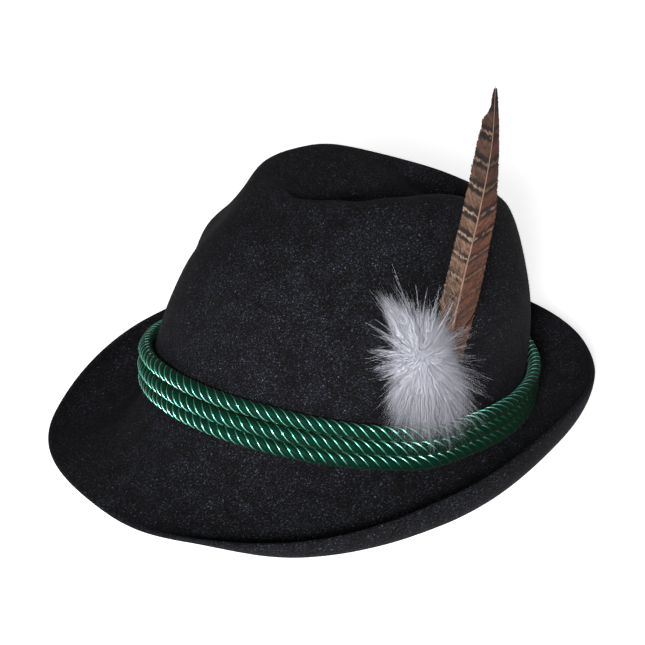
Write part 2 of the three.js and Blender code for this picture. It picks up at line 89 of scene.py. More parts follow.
# %% The crown's ovals
CROWN = table(
    "front side back ahead behind across square",
    (0.109, 0.000, 0.008, 1.014, 1.002, 1.000, 2.05),
    (0.285, 0.293, 0.268, 1.041, 0.983, 1.037, 2.0),
    (0.594, 0.577, 0.536, 0.939, 0.891, 1.050, 2.0),
    (0.795, 0.787, 0.795, 0.764, 0.837, 0.826, 2.1),
    (0.891, 0.975, 0.866, 0.589, 0.740, 0.665, 2.1),
    (0.958, 1.000, 0.787, 0.477, 0.574, 0.466, 2.1),
    (0.915, 0.904, 0.787, 0.410, 0.500, 0.174, 2.0),
    (0.862, 0.837, 0.736, 0.345, 0.430, 0.000, 2.0),
)
CREASE = len(CROWN["front"]) - 1


def smoothstep(value, low, high):
    f = np.clip((value - low) / (high - low), 0, 1)
    return f * f * (3 - 2 * f)


def turned_from(degrees, middle):
    """How far an angle lies from another, from -180 to 180."""
    return (degrees - middle + 180) % 360 - 180


def ring_point(index, degrees):
    """A point of one of the crown's ovals. Past the crease they go on mirrored."""
    mirrored = index > CREASE
    row = np.where(mirrored, 2 * CREASE - index, np.maximum(index, 0))
    c, s = np.cos(np.radians(degrees)), np.sin(np.radians(degrees))
    square = CROWN["square"][row]
    reach = (np.abs(c) ** square + np.abs(s) ** square) ** (1 / square)
    end = np.where(c > 0, CROWN["front"][row], CROWN["back"][row])
    half = np.where(c > 0, CROWN["ahead"][row], CROWN["behind"][row]) * HEAD_LENGTH / 2
    x = CROWN["across"][row] * HEAD_WIDTH / 2 * s / reach
    z = (CROWN["side"][row] * s * s + end * c * c) * CROWN_HEIGHT
    return np.stack([np.where(mirrored, -x, x), -half * c / reach, z], axis=-1)


def crown_point(ring, degrees):
    """The outside of the crown: ring 0 is its foot and the last ring is the crease."""
    ring, degrees = np.broadcast_arrays(np.asarray(ring, float), np.asarray(degrees, float))
    i = np.minimum(np.floor(ring).astype(int), CREASE - 1)
    f = (ring - i)[..., None]
    b, c, d = ring_point(i, degrees), ring_point(i + 1, degrees), ring_point(i + 2, degrees)
    a = np.where((i > 0)[..., None], ring_point(i - 1, degrees), 2 * b - c)
    point = smooth(a, b, c, d, f)
    # The two finger pinches press the crown in at the front, and fade out towards the crease.
    fade = smoothstep(CREASE - ring, 0, 2)
    height = np.exp(-(((point[..., 2] - PINCH_HEIGHT) / PINCH_SPREAD) ** 2))
    for side in (PINCH_ANGLE, -PINCH_ANGLE):
        near = np.exp(-((turned_from(degrees, side) / PINCH_ANGLE_SPREAD) ** 2))
        press = PINCH_DEPTH * fade * height * near
        point[..., 0] -= press * np.sin(np.radians(side))
        point[..., 1] += press * np.cos(np.radians(side))
    return point


print("ridge of the crown in mm:", round(float(crown_point(5, 90.0)[2]), 1))

# %% [markdown]
# The brim is one strip that is bent more or less as it goes round: down at the front, up at the sides
# and back. Each row says how wide it is at an angle, how steeply it leaves the crown, how steeply it
# ends, and how late the turn comes. Walking outward in small steps keeps the felt's real width, which
# a surface stretched between two outlines would not.

# %% The brim's turn
BRIM = table(
    "at width slope edge late",
    (0, 0.975, -49, -22, 1.8),
    (40, 1.080, -59, 78, 2.7),
    (75, 0.958, -40, 117, 2.2),
    (110, 0.800, -12, 110, 1.7),
    (145, 0.724, 8, 91, 1.9),
    (180, 0.704, 23, 63, 1.7),
)


def brim_value(column, degrees):
    """One column of the brim's table at an angle, by a smooth curve through its rows."""
    turned = np.abs(turned_from(degrees, 0))
    at, value = BRIM["at"], BRIM[column]
    at_all = np.concatenate([[-at[1]], at, [360 - at[-2]]])
    value_all = np.concatenate([[value[1]], value, [value[-2]]])
    lean = (value_all[2:] - value_all[:-2]) / (at_all[2:] - at_all[:-2])
    i = np.clip(np.searchsorted(at, turned, side="right") - 1, 0, len(at) - 2)
    step = at[i + 1] - at[i]
    f = (turned - at[i]) / step
    start = (2 * f**3 - 3 * f**2 + 1) * value[i] + (f**3 - 2 * f**2 + f) * step * lean[i]
    return start + (3 * f**2 - 2 * f**3) * value[i + 1] + (f**3 - f**2) * step * lean[i + 1]


def brim_point(share, degrees):
    """The top of the brim, a share of its width out from the foot of the crown."""
    c, s = np.cos(np.radians(degrees)), np.sin(np.radians(degrees))
    out = np.stack([s / HEAD_WIDTH, -c / HEAD_LENGTH], axis=-1)
    out /= np.linalg.norm(out, axis=-1, keepdims=True)
    width = brim_value("width", degrees) * BRIM_WIDTH
    slope, edge = brim_value("slope", degrees), brim_value("edge", degrees)
    late = brim_value("late", degrees)
    point = crown_point(0, degrees)
    parts = 24
    for k in range(parts):
        middle = share * (k + 0.5) / parts
        angle = np.radians(slope + (edge - slope) * middle**late)
        step = share * width / parts
        point[..., :2] += out * (np.cos(angle) * step)[..., None]
        point[..., 2] += np.sin(angle) * step
    return point


for where, at in (("front", 0.0), ("side", 90.0), ("back", 180.0)):
    print("brim width in mm at the", where, round(float(brim_value("width", at) * BRIM_WIDTH), 1))

# %% [markdown]
# The felt body runs in one piece from the crease, down the crown, round the break and out to the
# edge. One number, the run, says how far along that way a point lies: -7 is the crease, 0 to 1 the
# rounded break, and 2 the brim's edge. The inside is the same surface, moved in by the felt's
# thickness, and a rounded rim joins the two.

# %% One run from the crease to the brim's edge
def ring_at_height(height, degrees):
    """The ring number that lies a given height above the foot of the crown."""
    foot = crown_point(0, degrees)[..., 2]
    low, high = np.zeros_like(foot), np.full_like(foot, 4.0)
    for _ in range(24):
        middle = (low + high) / 2
        below = crown_point(middle, degrees)[..., 2] - foot < height
        low, high = np.where(below, middle, low), np.where(below, high, middle)
    return (low + high) / 2


def felt_point(run, degrees):
    start = ring_at_height(BREAK_ROUND, degrees)
    first = BREAK_ROUND / BRIM_WIDTH
    if run < 0:
        return crown_point(np.maximum(-run, start), degrees)
    if run > 1:
        return brim_point(first + (run - 1) * (1 - first), degrees)
    wall = crown_point(start, degrees) * (1 - run) ** 2
    foot = crown_point(0, degrees) * 2 * run * (1 - run)
    return wall + foot + brim_point(first, degrees) * run**2


def felt_normal(run, degrees):
    """The outward direction of the felt, from its slopes round the hat and down it."""
    crest = run <= -CREASE + 0.02
    low = -CREASE + 0.002 if crest else run - 0.01
    high = -CREASE + 0.04 if crest else min(run + 0.01, 2)
    around = felt_point(run, degrees + 0.5) - felt_point(run, degrees - 0.5)
    down = felt_point(high, degrees) - felt_point(low, degrees)
    normal = np.cross(down, around)
    if crest:
        normal[:, 0] = 0
        normal[:, 2] = np.abs(normal[:, 2])
    return normal / np.linalg.norm(normal, axis=-1, keepdims=True)


print("the run goes from", -CREASE, "at the crease to 2 at the edge")

# %% [markdown]
# The hat lies as it would by itself, tipped back a few degrees on the two front corners of its brim
# and the foot of the crown behind. Every piece is made upright and then tipped by one function, so
# that they stay together.

# %% Tipping the hat to its rest
def tip(points):
    """Points of the upright hat after it is tipped back, still in millimetres."""
    c, s = np.cos(np.radians(REST_TILT)), np.sin(np.radians(REST_TILT))
    x, y, z = np.moveaxis(points, -1, 0)
    return np.stack([x, y * c + z * s, z * c - y * s], axis=-1)


rest_shift = np.zeros(3)


def to_rest(points):
    return tip(points) + rest_shift


def make_piece(name, points, faces, smooth=True):
    """A mesh object from points in millimetres and faces that all have as many corners."""
    mesh = bpy.data.meshes.new(name)
    mesh.vertices.add(len(points))
    mesh.vertices.foreach_set("co", (points / 1000).astype(np.float32).ravel())
    mesh.loops.add(faces.size)
    mesh.loops.foreach_set("vertex_index", faces.astype(np.int32).ravel())
    mesh.polygons.add(len(faces))
    starts = np.arange(0, faces.size, faces.shape[1], dtype=np.int32)
    mesh.polygons.foreach_set("loop_start", starts)
    mesh.polygons.foreach_set("use_smooth", np.full(len(faces), smooth))
    mesh.update(calc_edges=True)
    piece = bpy.data.objects.new(name, mesh)
    bpy.context.scene.collection.objects.link(piece)
    return piece


def grid_faces(rows, columns, closed_rows=False, closed_columns=True):
    """Four-cornered faces of a grid of points, closed round its columns or along its rows."""
    r = np.arange(rows if closed_rows else rows - 1)[:, None]
    k = np.arange(columns if closed_columns else columns - 1)[None, :]
    r2, k2 = (r + 1) % rows, (k + 1) % columns
    corners = [r * columns + k, r2 * columns + k, r2 * columns + k2, r * columns + k2]
    return np.stack(np.broadcast_arrays(*corners), axis=-1).reshape(-1, 4)


print("tipped back by", REST_TILT, "degrees")

# %% [markdown]
# Blocked wool felt is never quite even: the steam and the block leave it a little wavy. A few slow
# sine waves with seeded phases press the surface in and out by a fraction of a millimetre. Noise in
# the material alone would not bend the highlights and the outline.

# %% The felt body
FELT_COLUMNS = 320
WAVE_HEIGHT = 0.35
waves = np.random.default_rng(11)
wave_turns = waves.integers(2, 15, 14)
wave_runs = waves.uniform(0.5, 5.0, 14)
wave_phases = waves.uniform(0, 2 * np.pi, 14)


def unevenness(run, degrees):
    """How far the felt stands out of its true form at a place, in millimetres."""
    angle = np.radians(degrees)[..., None] * wave_turns + run * wave_runs + wave_phases
    return WAVE_HEIGHT * np.sin(angle).sum(axis=-1) / np.sqrt(len(wave_turns))


def felt_rows(runs, inside):
    degrees = np.arange(FELT_COLUMNS) * 360 / FELT_COLUMNS
    rows = []
    for run in runs:
        normal = felt_normal(run, degrees)
        calm = 0 if run < -CREASE + 0.6 else unevenness(run, degrees)
        depth = calm - (FELT if inside else 0)
        point = felt_point(run, degrees) + normal * np.reshape(depth, (-1, 1))
        if run == -CREASE:
            point[:, 0] = 0
        rows.append(point)
    return rows


def rim_rows(steps):
    """A half round from the outside to the inside of the felt at the brim's edge."""
    degrees = np.arange(FELT_COLUMNS) * 360 / FELT_COLUMNS
    normal = felt_normal(2, degrees)
    ahead = felt_point(2, degrees) - felt_point(1.97, degrees)
    ahead /= np.linalg.norm(ahead, axis=-1, keepdims=True)
    swell = unevenness(2, degrees)[:, None] * normal
    middle = felt_point(2, degrees) + swell - normal * FELT / 2 - ahead * FELT / 3
    angles = np.linspace(0, np.pi, steps + 2)[1:-1]
    return [middle + FELT / 2 * (np.cos(a) * normal + np.sin(a) * ahead) for a in angles]


EDGE_RUN = 1.985
outside_runs = np.concatenate([np.linspace(-CREASE, -0.4, 96), np.linspace(0, 1, 9),
                               np.linspace(1.04, EDGE_RUN, 50)])
inside_runs = np.concatenate([np.linspace(-CREASE, -0.4, 56), np.linspace(0, 1, 5),
                              np.linspace(1.06, EDGE_RUN, 28)])
felt_points = tip(np.stack(felt_rows(outside_runs, False) + rim_rows(5)
                           + felt_rows(inside_runs, True)[::-1]))
rest_shift[1] = -(felt_points[..., 1].min() + felt_points[..., 1].max()) / 2
rest_shift[2] = -felt_points[..., 2].min() - REST_SAG
felt_points += rest_shift
felt_points[..., 2] = np.maximum(felt_points[..., 2], 0)
felt_faces = grid_faces(len(felt_points), FELT_COLUMNS)
felt_hat = make_piece("felt_hat", felt_points.reshape(-1, 3), felt_faces)
print("felt:", len(felt_faces), "faces, rest shift in mm", np.round(rest_shift, 2))

# %% [markdown]
# Materials are built from nodes. One function writes a colour as it would be picked from a chart, one
# turns a size in millimetres into a texture's scale, and one adds a node with its settings and links.

# %% Helpers for materials
def colour(code):
    """An sRGB hex colour as linear red, green, blue and full opacity."""
    part = np.array([int(code[i:i + 2], 16) / 255 for i in (1, 3, 5)])
    linear = np.where(part <= 0.04045, part / 12.92, ((part + 0.055) / 1.055) ** 2.4)
    return (*linear.tolist(), 1.0)


def per_mm(size):
    """The texture scale at which one cell of a pattern measures this many millimetres."""
    return 1000 / size


def add_node(tree, kind, inputs=None, stops=None, **settings):
    """A node with its settings. Each input takes a plain value or another node's output."""
    node = tree.nodes.new(kind)
    for name, value in settings.items():
        setattr(node, name, value)
    for name, value in (inputs or {}).items():
        if isinstance(value, bpy.types.NodeSocket):
            tree.links.new(value, node.inputs[name])
        else:
            node.inputs[name].default_value = value
    for k, (place, code) in enumerate(stops or []):
        ramp = node.color_ramp.elements
        stop = ramp[k] if k < 2 else ramp.new(place)
        stop.position = place
        stop.color = colour(code)
    return node


def new_material(name):
    material = bpy.data.materials.new(name)
    material.use_nodes = True
    material.node_tree.nodes.clear()
    return material, material.node_tree


def finish_surface(tree, **inputs):
    """The principled shader with these inputs, on the material's output."""
    named = {name.replace("_", " "): value for name, value in inputs.items()}
    shader = add_node(tree, "ShaderNodeBsdfPrincipled", named)
    add_node(tree, "ShaderNodeOutputMaterial", {"Surface": shader.outputs[0]})


print("a middle grey is", np.round(colour("#808080"), 3))

# %% [markdown]
# The body is black wool felt: carded fibres, matted by steam and pressing, with no weave at all.
# The eye sees a dull, nearly black surface, full of fine grey flecks where fibre ends catch the
# light, and a slightly blue cast in the lit parts. Fibres are 0.02 mm thick, too fine to show, so
# the flecks are drawn into the colour about 0.6 mm long. They are partly the fibres' own texture and
# partly a painted glint of fibre ends catching the light. The blue cast is painted into their bright
# end, the same everywhere. A second, larger noise gives the cloudy patches.

# %% Material: black wool felt
FLECK = 0.62
CLOUD = 9.0


def wool_felt():
    material, tree = new_material("black_wool_felt")
    place = add_node(tree, "ShaderNodeTexCoord").outputs["Object"]
    heights = []
    for turn, size in ((0.5, FLECK), (2.1, FLECK * 1.2), (3.9, FLECK * 0.9)):
        turned = add_node(tree, "ShaderNodeMapping", {
            "Vector": place, "Rotation": (turn, turn * 1.7, turn * 0.6), "Scale": (1, 0.5, 1)})
        fibre = add_node(tree, "ShaderNodeTexNoise", {
            "Vector": turned.outputs[0], "Scale": per_mm(size), "Detail": 2.0, "Roughness": 0.6})
        heights.append(fibre.outputs[0])
    two = add_node(tree, "ShaderNodeMath", {0: heights[0], 1: heights[1]}, operation="MAXIMUM")
    three = add_node(tree, "ShaderNodeMath", {0: two.outputs[0], 1: heights[2]},
                     operation="MAXIMUM")
    cloud = add_node(tree, "ShaderNodeTexNoise", {
        "Vector": place, "Scale": per_mm(CLOUD), "Detail": 3.0, "Roughness": 0.55})
    # Painted glint: the flecks' bright blue-grey end stands for fibre ends catching the light, laid into
    # the colour over the fibres' own texture.
    flecks = add_node(tree, "ShaderNodeValToRGB", {"Fac": three.outputs[0]}, stops=[
        (0.50, "#050506"), (0.60, "#0F0F12"), (0.69, "#262932"), (0.80, "#6C7389")])
    patches = add_node(tree, "ShaderNodeValToRGB", {"Fac": cloud.outputs[0]}, stops=[
        (0.30, "#B7ACA8"), (0.70, "#FFFFFF")])
    base = add_node(tree, "ShaderNodeMix", {
        0: 1.0, 6: flecks.outputs[0], 7: patches.outputs[0]}, data_type="RGBA", blend_type="MULTIPLY")
    bump = add_node(tree, "ShaderNodeBump", {
        "Height": three.outputs[0], "Strength": 0.8, "Distance": 0.0004})
    finish_surface(tree, Base_Color=base.outputs[2], Roughness=0.95, Specular_IOR_Level=0.10,
                   Normal=bump.outputs[0])
    return material


felt_material = wool_felt()
felt_hat.data.materials.append(felt_material)
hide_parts("felt_body")
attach(felt_hat, "root")
print("felt body done")

# %% [markdown]
# Felt has a nap: loose fibre ends that stand off the surface and soften its outline. They could be a
# particle system, but plain thin triangles are lighter and stay in the mesh. Each one starts on a
# random spot of the outside and leans away at a flat angle.

# %% The felt's nap
NAP_HAIRS = 52000
NAP_LENGTH = (0.7, 2.0)
NAP_WIDTH = 0.05


def nap_mesh():
    rng = np.random.default_rng(5)
    outer = len(outside_runs) + 5
    grid = felt_points[:outer]
    row = rng.integers(1, outer - 1, NAP_HAIRS * 2)
    column = rng.integers(0, FELT_COLUMNS, NAP_HAIRS * 2)
    a = grid[row, column]
    b = grid[row, (column + 1) % FELT_COLUMNS]
    c = grid[row - 1, column]
    normal = np.cross(b - a, c - a)
    area = np.linalg.norm(normal, axis=-1)
    keep = np.flatnonzero(rng.random(len(area)) < area / np.quantile(area, 0.9))[:NAP_HAIRS]
    a, b, c, normal = a[keep], b[keep], c[keep], normal[keep] / area[keep, None]
    root = a + (b - a) * rng.random((len(a), 1)) + (c - a) * rng.random((len(a), 1))
    along = rng.normal(size=root.shape)
    along -= normal * (along * normal).sum(axis=-1, keepdims=True)
    along /= np.linalg.norm(along, axis=-1, keepdims=True)
    side = np.cross(along, normal)
    length = rng.uniform(*NAP_LENGTH, (len(a), 1))
    lift = rng.uniform(0.15, 0.75, (len(a), 1))
    end = root + length * (along * np.sqrt(1 - lift**2) + normal * lift)
    points = np.stack([root - side * NAP_WIDTH / 2, root + side * NAP_WIDTH / 2, end], axis=1)
    points[..., 2] = np.maximum(points[..., 2], 0)
    return points.reshape(-1, 3), np.arange(len(a) * 3).reshape(-1, 3)


nap_points, nap_faces = nap_mesh()
felt_nap = make_piece("felt_nap", nap_points, nap_faces)
print("nap:", len(nap_faces), "hairs")


def nap_fibre():
    material, tree = new_material("black_wool_nap")
    place = add_node(tree, "ShaderNodeTexCoord").outputs["Object"]
    shade = add_node(tree, "ShaderNodeTexNoise", {
        "Vector": place, "Scale": per_mm(1.5), "Detail": 1.0})
    base = add_node(tree, "ShaderNodeValToRGB", {"Fac": shade.outputs[0]}, stops=[
        (0.35, "#070708"), (0.7, "#1D1E23")])
    finish_surface(tree, Base_Color=base.outputs[0], Roughness=0.9, Specular_IOR_Level=0.2)
    return material


felt_nap.data.materials.append(nap_fibre())
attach(felt_nap, "root")

# %% [markdown]
# Each turn of cord is four plies twisted together, with a thin shiny thread laid beside each ply. A
# texture on a plain ring would look painted, so the plies are real tubes that wind round the cord's
# own line. The line is found the way the cord lies: against the wall, the lowest turn on the break.

# %% The cords' own lines
CORD_STEPS = 960
CORD_PLIES = 4
PLY_SPACING = 5.0
PLY_SWELL = 1.22
PLY_SIDES, THREAD_SIDES = 8, 5
THREAD = 0.62
THREAD_SINK = THREAD * 0.45
THREAD_WANDER = 0.06


def cord_height(index, degrees):
    radius = CORD / 2 + GAP
    seat = radius * np.tan(np.radians(45 + brim_value("slope", degrees) / 2)) + 0.6
    return np.maximum(radius, seat) + index * CORD_STEP


def quill_bulge(degrees):
    """How far a cord stands off the wall where the feather's quill is tucked behind it."""
    quill_at = 90 - np.degrees(np.arcsin(QUILL_SIDE / (HEAD_LENGTH / 2)))
    return (QUILL + 2 * GAP) * np.exp(-((turned_from(degrees, quill_at) / 11) ** 2))


def unit(vectors):
    return vectors / np.linalg.norm(vectors, axis=-1, keepdims=True)


def cord_line(index):
    """The centre of a cord all the way round, with its outward and its upward directions."""
    degrees = np.arange(CORD_STEPS) * 360 / CORD_STEPS
    ring = ring_at_height(cord_height(index, degrees), degrees)
    around = unit(crown_point(ring, degrees + 1) - crown_point(ring, degrees - 1))
    up = unit(crown_point(ring + 0.05, degrees) - crown_point(ring - 0.05, degrees))
    out = unit(np.cross(around, up))
    rise = unit(np.cross(out, around))
    stand_off = CORD / 2 + GAP + quill_bulge(degrees)
    centre = crown_point(ring, degrees) + out * stand_off[:, None]
    return centre, out, rise


print("cords lie this high over the break at the front, in mm:",
      [round(float(cord_height(index, 0.0)), 1) for index in range(3)])

# %% [markdown]
# A ply is a tube whose centre goes round the cord's line as it moves along. The twist has to close on
# itself, so the number of turns is rounded to a whole one. The thread is a second, thinner tube that
# lies in the groove between two plies.

# %% Twisting the plies
def wound_tube(line, start, distance, radius, turns, sides, wander=0.0):
    """Points of a tube that winds round a cord's line at a distance from it."""
    centre, out, rise = line
    steps = len(centre)
    angle = start - 2 * np.pi * turns * np.arange(steps) / steps
    distance = distance + wander * np.sin(37 * angle / turns + start)
    away = out * np.cos(angle)[:, None] + rise * np.sin(angle)[:, None]
    path = centre + away * np.reshape(distance, (-1, 1))
    tangent = unit(np.roll(path, -1, axis=0) - np.roll(path, 1, axis=0))
    side = unit(np.cross(tangent, away))
    top = np.cross(side, tangent)
    round_angle = np.arange(sides) * 2 * np.pi / sides
    wheel = (top[:, None] * np.cos(round_angle)[:, None]
             + side[:, None] * np.sin(round_angle)[:, None])
    return path[:, None] + wheel * radius


def cord_mesh(index):
    line = cord_line(index)
    length = np.linalg.norm(np.roll(line[0], -1, axis=0) - line[0], axis=-1).sum()
    turns = round(length / (PLY_SPACING * CORD_PLIES))
    ply_radius = CORD / 2 / (1 + np.sqrt(2)) * PLY_SWELL
    ply_distance = CORD / 2 - ply_radius
    tubes = []
    for k in range(CORD_PLIES):
        start = 2 * np.pi * (k + 0.3 * index) / CORD_PLIES
        tubes.append((wound_tube(line, start, ply_distance, ply_radius, turns, PLY_SIDES), 0))
        beside = start + np.pi / CORD_PLIES
        tubes.append((wound_tube(line, beside, CORD / 2 - THREAD_SINK, THREAD / 2, turns,
                                 THREAD_SIDES, THREAD_WANDER), 1))
    points, faces, parts = [], [], []
    first = 0
    for tube, part in tubes:
        made = grid_faces(len(tube), tube.shape[1], closed_rows=True)
        points.append(tube.reshape(-1, 3))
        faces.append(made + first)
        parts.append(np.full(len(made), part))
        first += tube.shape[0] * tube.shape[1]
    return np.concatenate(points), np.concatenate(faces), np.concatenate(parts), length


print("twisted from", CORD_PLIES, "plies, one every", PLY_SPACING, "mm along the cord")

# %% [markdown]
# The plies are spun from green rayon, a silky fibre that is dyed in the hank: deep bottle green with
# a satin gloss along each ply. The thread beside each ply is metallised yarn in a pale mint. It is
# dull where it turns away and flashes as a thin bright line where it faces the light.

# %% Materials: rayon cord and mint thread
YARN_TURN = 0.55


def rayon():
    material, tree = new_material("green_rayon_cord")
    place = add_node(tree, "ShaderNodeTexCoord").outputs["Object"]
    yarn = add_node(tree, "ShaderNodeTexNoise", {
        "Vector": place, "Scale": per_mm(YARN_TURN), "Detail": 2.0, "Roughness": 0.6})
    base = add_node(tree, "ShaderNodeValToRGB", {"Fac": yarn.outputs[0]}, stops=[
        (0.30, "#020F0B"), (0.55, "#032017"), (0.80, "#062F22")])
    bump = add_node(tree, "ShaderNodeBump", {
        "Height": yarn.outputs[0], "Strength": 0.5, "Distance": 0.00015})
    finish_surface(tree, Base_Color=base.outputs[0], Roughness=0.55, Specular_IOR_Level=0.12,
                   Specular_Tint=colour("#7FE0B8"), Sheen_Weight=0.12,
                   Sheen_Tint=colour("#5F6B3A"), Normal=bump.outputs[0])
    return material


def mint_thread():
    material, tree = new_material("mint_metallised_thread")
    place = add_node(tree, "ShaderNodeTexCoord").outputs["Object"]
    glint = add_node(tree, "ShaderNodeTexNoise", {
        "Vector": place, "Scale": per_mm(0.8), "Detail": 1.0})
    base = add_node(tree, "ShaderNodeValToRGB", {"Fac": glint.outputs[0]}, stops=[
        (0.3, "#62D9BA"), (0.7, "#A8F7E4")])
    finish_surface(tree, Base_Color=base.outputs[0], Roughness=0.32, Metallic=1.0)
    return material


rayon_material, thread_material = rayon(), mint_thread()
for index, place_name in enumerate(("lower", "middle", "upper")):
    points, faces, parts, cord_length = cord_mesh(index)
    cord = make_piece(f"twisted_cord_{place_name}", to_rest(points), faces)
    cord.data.materials.append(rayon_material)
    cord.data.materials.append(thread_material)
    cord.data.polygons.foreach_set("material_index", parts.astype(np.int32))
    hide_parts(f"cord_{place_name}")
    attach(cord, "root")
    print(cord.name, len(faces), "faces, length in mm", round(cord_length))

# %% [markdown]
# A tail feather is a tapering shaft with two rows of flat barbs that cling together. A flat plate with
# a painted pattern would miss its combed edge, so every barb is its own narrow strip that leaves the
# shaft at a slant and curves towards the tip. Its line comes first: how far up, how far out from the
# hat's middle and how far aside it lies, and how wide the vane is in front of it and behind it.

# %% The feather's line and outline
FEATHER_LINE = table(
    "up out side",
    (0.020, 0.919, 1.90),
    (0.130, 0.948, 1.92),
    (0.200, 0.968, 1.93),
    (0.320, 0.995, 1.78),
    (0.510, 1.002, 1.42),
    (0.680, 0.999, 0.93),
    (0.850, 0.990, 0.62),
    (1.000, 0.980, 0.80),
)
VANE = table(
    "along front back",
    (0.200, 0.00, 0.00),
    (0.250, 0.22, 0.28),
    (0.300, 0.35, 0.42),
    (0.385, 0.38, 0.47),
    (0.450, 0.40, 0.50),
    (0.525, 0.39, 0.50),
    (0.590, 0.39, 0.45),
    (0.680, 0.385, 0.42),
    (0.810, 0.37, 0.22),
    (0.860, 0.34, 0.16),
    (0.905, 0.27, 0.12),
    (0.925, 0.17, 0.10),
    (0.950, 0.08, 0.08),
    (0.980, 0.05, 0.05),
    (1.000, 0.01, 0.01),
)


def smooth_line(rows, count):
    """A smooth curve through a few points, given at evenly spaced places along it."""
    rows = np.concatenate([[2 * rows[0] - rows[1]], rows, [2 * rows[-1] - rows[-2]]])
    spans = len(rows) - 3
    t = np.linspace(0, spans, 400)
    i = np.minimum(t.astype(int), spans - 1)
    f = (t - i)[:, None]
    curve = smooth(rows[i], rows[i + 1], rows[i + 2], rows[i + 3], f)
    run = np.concatenate([[0], np.cumsum(np.linalg.norm(np.diff(curve, axis=0), axis=-1))])
    even = np.linspace(0, run[-1], count)
    return np.stack([np.interp(even, run, curve[:, k]) for k in range(3)], axis=-1), run[-1]


shaft_rows = np.stack([FEATHER_LINE["out"] * FEATHER_OUT, -FEATHER_LINE["side"] * FEATHER_SIDE,
                       FEATHER_LINE["up"] * FEATHER_RISE], axis=-1)
shaft_line, shaft_length = smooth_line(shaft_rows, 400)
shaft_share = np.linspace(0, 1, 400)
shaft_tangent = unit(np.gradient(shaft_line, axis=0))
vane_across = np.array([np.cos(np.radians(VANE_FACES)), np.sin(np.radians(VANE_FACES)), 0])
shaft_face = unit(np.cross(vane_across, shaft_tangent))
shaft_wide = unit(np.cross(shaft_tangent, shaft_face))
print("feather shaft length in mm", round(shaft_length, 1))


def on_shaft(values, along):
    """A value or a direction of the shaft at a share of its length."""
    along = np.asarray(along, float)
    flat = [np.interp(along, shaft_share, values[:, k]) for k in range(values.shape[1])]
    return np.stack(flat, axis=-1)


# %% [markdown]
# The barbs of a real vane hook into each other and come apart here and there. Each one could be a
# curve with a thickness, but a flat ribbon is closer to its true shape and far lighter. Its reach is
# taken from the outline where it lands, not where it starts. Three numbers ride on each point for the
# material: which bar it lies on, and how far across and along the feather it is.

# %% Barbs of the vane
BARB_SPACING = 0.42
BARB_ANGLE = 34
BARB_STEPS = 7
BARB_WIDTH = 0.72
# Places where the vane has come apart: side, share of the shaft, half its height, how far in mm.
SPLITS = ((-1, 0.83, 0.008, 0.4), (-1, 0.64, 0.006, 0.3), (1, 0.74, 0.008, 0.4),
          (1, 0.53, 0.008, 0.5), (1, 0.44, 0.022, 2.4), (1, 0.33, 0.026, 3.0),
          (-1, 0.36, 0.010, 1.0))
BAR_SLOPE = {-1: 0.47, 1: 0.75}
BAR_HEIGHTS = (67, 76.7, 86.8, 96.1, 105.7, 114.9, 125.9, 138.4, 149.9, 164.6, 178, 190)


def strips(paths, across, widths):
    """Flat ribbons along many paths: points, faces, for paths of shape (count, steps, 3)."""
    half = across * widths[..., None] / 2
    points = np.stack([paths - half, paths + half], axis=2)
    count, steps = paths.shape[:2]
    first = (np.arange(count) * steps * 2)[:, None] + np.arange(steps - 1)[None] * 2
    faces = np.stack([first, first + 1, first + 3, first + 2], axis=-1)
    return points.reshape(-1, 3), faces.reshape(-1, 4)


def barb_set(side, rng):
    """The barbs of one half of the vane. side is -1 to the front and 1 to the back."""
    low, high = VANE["along"][0], 0.992
    count = int((high - low) * shaft_length / BARB_SPACING)
    root = low + (high - low) * (np.arange(count) + rng.uniform(-0.3, 0.3, count)) / count
    column = VANE["front" if side < 0 else "back"]
    angle = np.radians(BARB_ANGLE + rng.normal(0, 0.6, count))
    # A barb lands further up the feather than it starts, so its reach is the outline's there.
    reach = np.interp(root, VANE["along"], column) * VANE_WIDTH
    for _ in range(6):
        landing = np.minimum(root + reach / np.tan(angle) / shaft_length, 1)
        reach = np.interp(landing, VANE["along"], column) * VANE_WIDTH
    reach = reach * (1 + rng.normal(0, 0.02, count)) + 0.15
    open_up = np.zeros(count)
    for split_side, at, width, gap in SPLITS:
        if split_side == side:
            lean = np.where(root < at, -0.5, 0.5)
            open_up += lean * gap * np.exp(-(((root - at) / width) ** 2))
    f = np.linspace(0, 1, BARB_STEPS)[None]
    out = side * reach[:, None] * (f * 1.15 - 0.15 * f**2)
    up = (reach / np.tan(angle))[:, None] * (0.75 * f + 0.25 * f**2)
    up = up + open_up[:, None] * f**1.5
    along = np.clip(root[:, None] + up / shaft_length, 0, 1)
    spill = np.maximum(root[:, None] + up / shaft_length - 1, 0) * shaft_length
    # Vanes cup a little away from the crown, and each barb lies a hair off its neighbour.
    cup = -0.035 * out**2 / 4 + rng.normal(0, 0.10, (count, 1)) * f
    base = on_shaft(shaft_line, along) + on_shaft(shaft_tangent, along) * spill[..., None]
    paths = base + on_shaft(shaft_wide, along) * out[..., None]
    paths = paths + on_shaft(shaft_face, along) * cup[..., None]
    bar = along - BAR_SLOPE[side] * np.abs(out) / shaft_length
    bar_number = np.interp(on_shaft(shaft_line, bar)[..., 2], BAR_HEIGHTS, range(len(BAR_HEIGHTS)))
    root_place = np.broadcast_to(root[:, None] * shaft_length, out.shape)
    marks = np.stack([bar_number, out, root_place], axis=-1)
    return paths, marks, rng.random(count)


